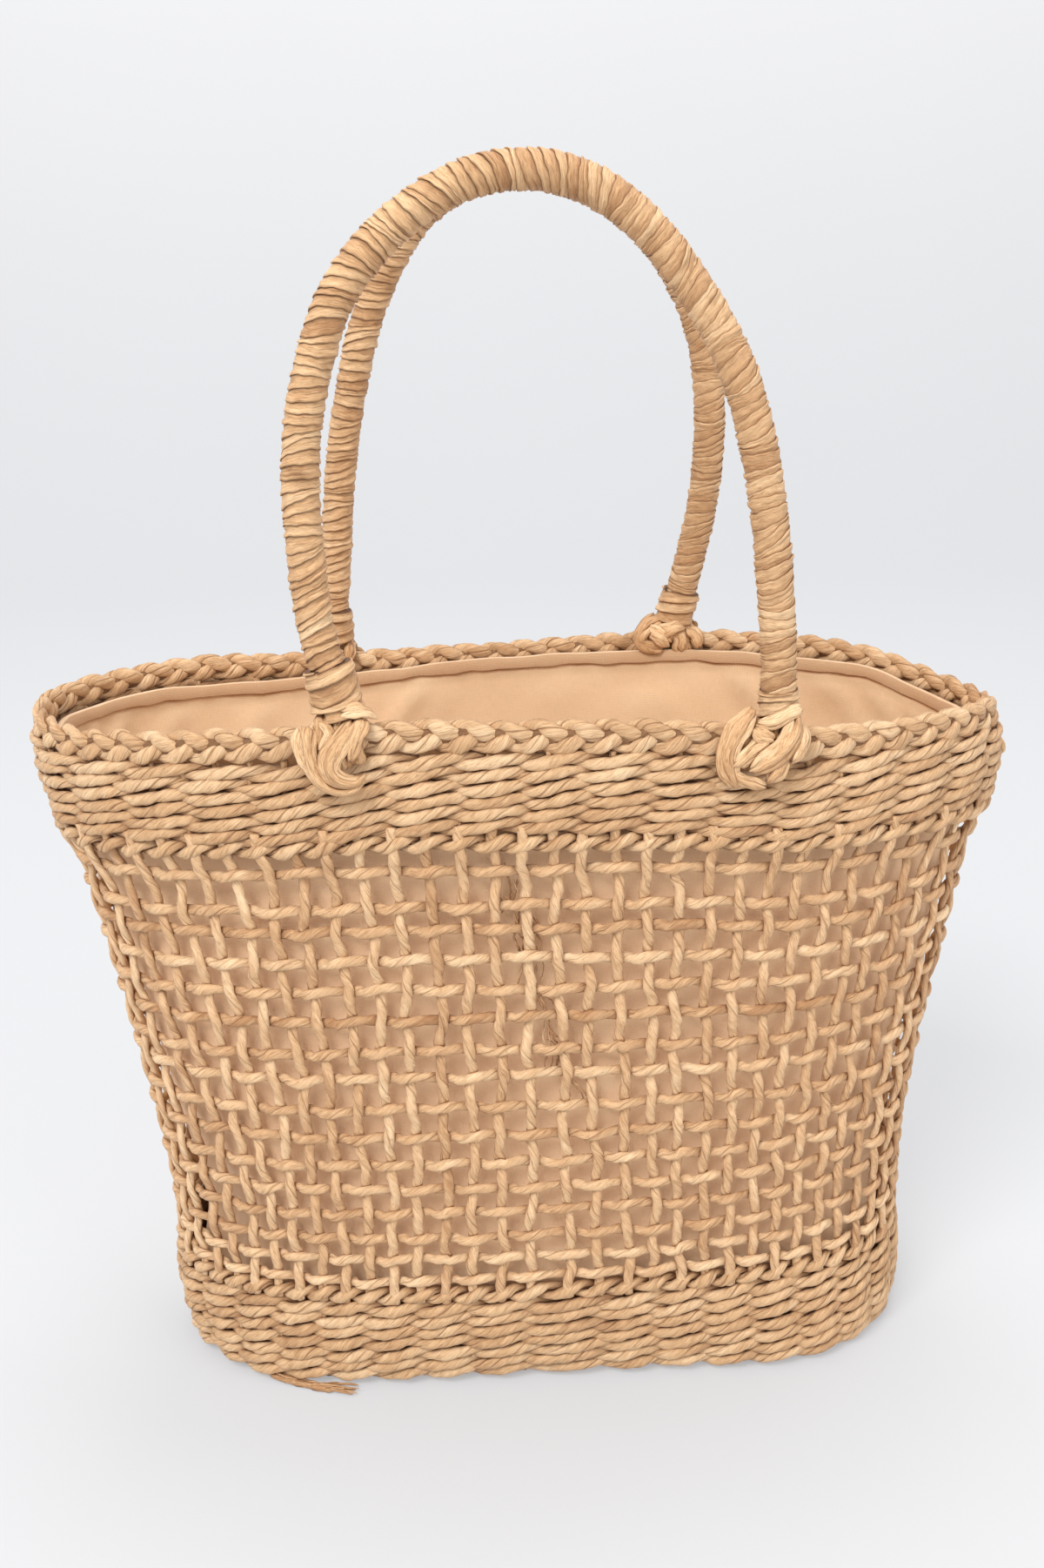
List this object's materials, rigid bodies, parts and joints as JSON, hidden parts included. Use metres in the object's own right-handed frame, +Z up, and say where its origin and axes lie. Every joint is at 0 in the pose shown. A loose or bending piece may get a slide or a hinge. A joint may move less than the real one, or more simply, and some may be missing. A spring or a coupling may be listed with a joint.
{
  "type": "straw basket bag",
  "caption": "Flaring oval straw tote with an open lattice wall, twined bands at top and base, a plaited rim, wrapped arch handles lashed to the rim, and a loose cotton lining.",
  "frame": {"origin": "middle of the footprint box, on the surface the bag stands on", "axes": "+Z up towards the handles; +X along the bag's length; -Y towards the front face, so +Y runs through the bag's thin direction"},
  "size_m": [0.4168, 0.1844, 0.5327],
  "materials": {
    "straw_lattice": "twisted paper straw cord, satin, pale gold tan",
    "straw_band": "close twined paper straw, satin, gold tan",
    "straw_plait": "plaited paper straw strips, satin, gold tan",
    "straw_wrap": "crinkled paper straw strip wound round a core, satin",
    "lining_cotton": "plain woven cotton, matt, tan"
  },
  "bodies": {
    "root": {"base_floor": "straw_band", "bottom_band": "straw_band", "lattice_wall": "straw_lattice", "top_band": "straw_band", "rim_plait": "straw_plait", "lining": "lining_cotton", "handle_front": "straw_wrap", "handle_back": "straw_wrap", "lashing_front_left": "straw_wrap", "lashing_front_right": "straw_wrap", "lashing_back_left": "straw_wrap", "lashing_back_right": "straw_wrap"}
  },
  "joints": []
}
